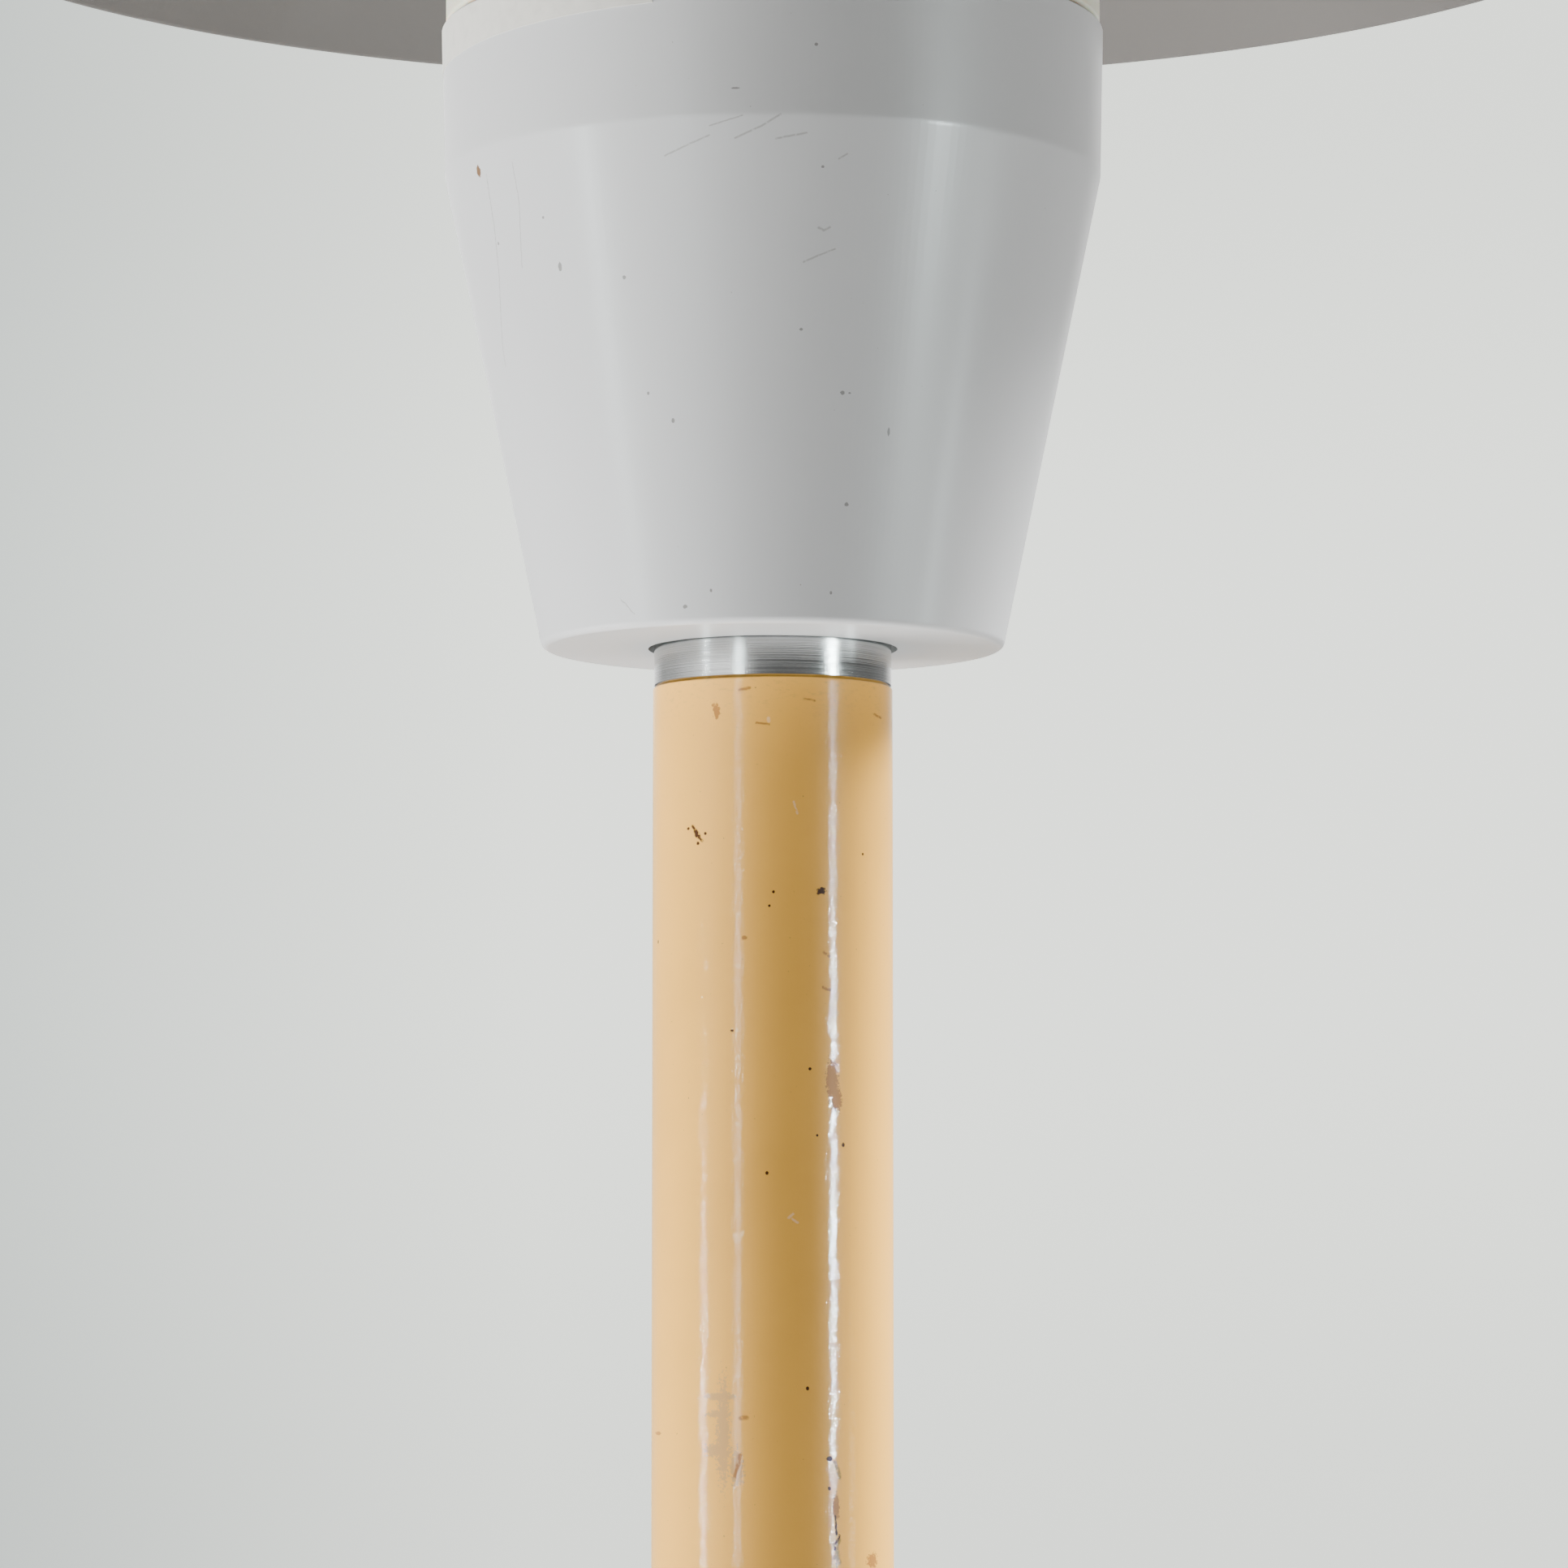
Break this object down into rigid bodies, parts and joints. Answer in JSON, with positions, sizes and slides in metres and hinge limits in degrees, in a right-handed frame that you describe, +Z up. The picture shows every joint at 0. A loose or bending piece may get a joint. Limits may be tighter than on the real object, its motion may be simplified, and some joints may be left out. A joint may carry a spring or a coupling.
{
  "type": "tension pole lamp",
  "caption": "Floor-to-ceiling pole lamp: cream tube, aluminium rings, light grey cup under an opal drum and a wide shallow shade, foot screw and sprung ceiling cap.",
  "frame": {"origin": "middle of the floor pad's underside, on the floor", "axes": "+Z up along the pole towards the ceiling; the pictured side faces -Y and the cord inlet faces +Y"},
  "size_m": [0.2364, 0.2364, 2.5004],
  "materials": {
    "cream_lacquer": "gloss lacquer with light orange peel, yellowed cream",
    "grey_lacquer": "smooth light grey semi-gloss lacquer",
    "shade_lacquer": "light grey lacquer, matt inside",
    "cone_lacquer": "turned aluminium, light grey semi-gloss lacquer",
    "turned_aluminium": "fine circumferential turning marks",
    "plain_aluminium": "drawn, satin",
    "steel": "zinc plated",
    "black_rubber": "moulded, matt",
    "opal": "opal acrylic, yellowed, satin gloss",
    "nylon": "natural nylon",
    "bakelite": "moulded black-brown insulating resin",
    "terminal_resin": "moulded off-white insulating resin",
    "brass": "turned",
    "bulb": "frosted",
    "fibre": "pressed fibre",
    "spring_steel": "oiled spring wire"
  },
  "bodies": {
    "foot": {"floor_pad": "black_rubber", "foot_cone": "cone_lacquer", "foot_screw": "steel", "lock_nut": "steel"},
    "nut": {"adjusting_nut": "turned_aluminium"},
    "pole": {"thrust_washer": "nylon", "foot_ring": "turned_aluminium", "foot_plug": "plain_aluminium", "lower_tube": "cream_lacquer", "cable_grommet": "black_rubber", "tube_coupler": "plain_aluminium", "middle_tube": "cream_lacquer", "pole_plug": "plain_aluminium", "spacer_ring": "turned_aluminium", "stem": "steel", "hub_washer": "steel", "hub_nut": "steel", "plate_nut": "steel", "socket_plate": "steel", "lamp_sockets": "bakelite", "socket_screws": "steel", "bulb_caps": "brass", "bulb_glass": "bulb", "terminal_bracket": "steel", "bracket_screws": "steel", "terminal_block": "terminal_resin", "terminal_screws": "brass", "stem_sleeve": "brass", "shade_flange": "turned_aluminium", "shade": "shade_lacquer", "shade_washer": "fibre", "upper_ring": "turned_aluminium", "upper_plug": "plain_aluminium", "upper_tube": "cream_lacquer", "spring_seat": "plain_aluminium", "seat_pin": "steel", "guide_bush": "nylon", "top_ring": "turned_aluminium", "spring": "spring_steel"},
    "cup": {"cup": "grey_lacquer", "cup_bush": "nylon", "diffuser_seat": "steel", "diffuser": "opal"},
    "plunger": {"stop_collar": "nylon", "spring_cap": "plain_aluminium", "plunger_tube": "plain_aluminium", "plunger_plug": "turned_aluminium", "ball_stud": "steel"},
    "ball_seat": {"ball_liner": "nylon"},
    "ceiling_cap": {"ball_retainer": "brass", "ceiling_cone": "cone_lacquer", "ceiling_pad": "black_rubber"}
  },
  "joints": [
    {"name": "pole_lift", "type": "slide", "parent": "foot", "child": "pole", "axis": [0, 0, 1], "range_m": [0, 0.04]},
    {"name": "nut_turn", "type": "hinge", "parent": "pole", "child": "nut", "pos_m": [0, 0, 0.047], "axis": [0, 0, 1], "range_deg": [0, 3600]},
    {"name": "cup_slide", "type": "slide", "parent": "pole", "child": "cup", "axis": [0, 0, 1], "range_m": [-0.12, 0]},
    {"name": "plunger_slide", "type": "slide", "parent": "pole", "child": "plunger", "axis": [0, 0, 1], "range_m": [-0.06, 0], "stiffness_N_per_m": 1700, "springref_m": 0.02, "deforming": ["spring"]},
    {"name": "cap_tilt_side", "type": "hinge", "parent": "plunger", "child": "ball_seat", "pos_m": [0, 0, 2.4664], "axis": [0, 1, 0], "range_deg": [-8, 8]},
    {"name": "cap_tilt_fore", "type": "hinge", "parent": "ball_seat", "child": "ceiling_cap", "pos_m": [0, 0, 2.4664], "axis": [1, 0, 0], "range_deg": [-8, 8]}
  ],
  "couplings": [
    {"joint": "nut_turn", "follows": "pole_lift", "rad_per_m": 1570.8}
  ]
}
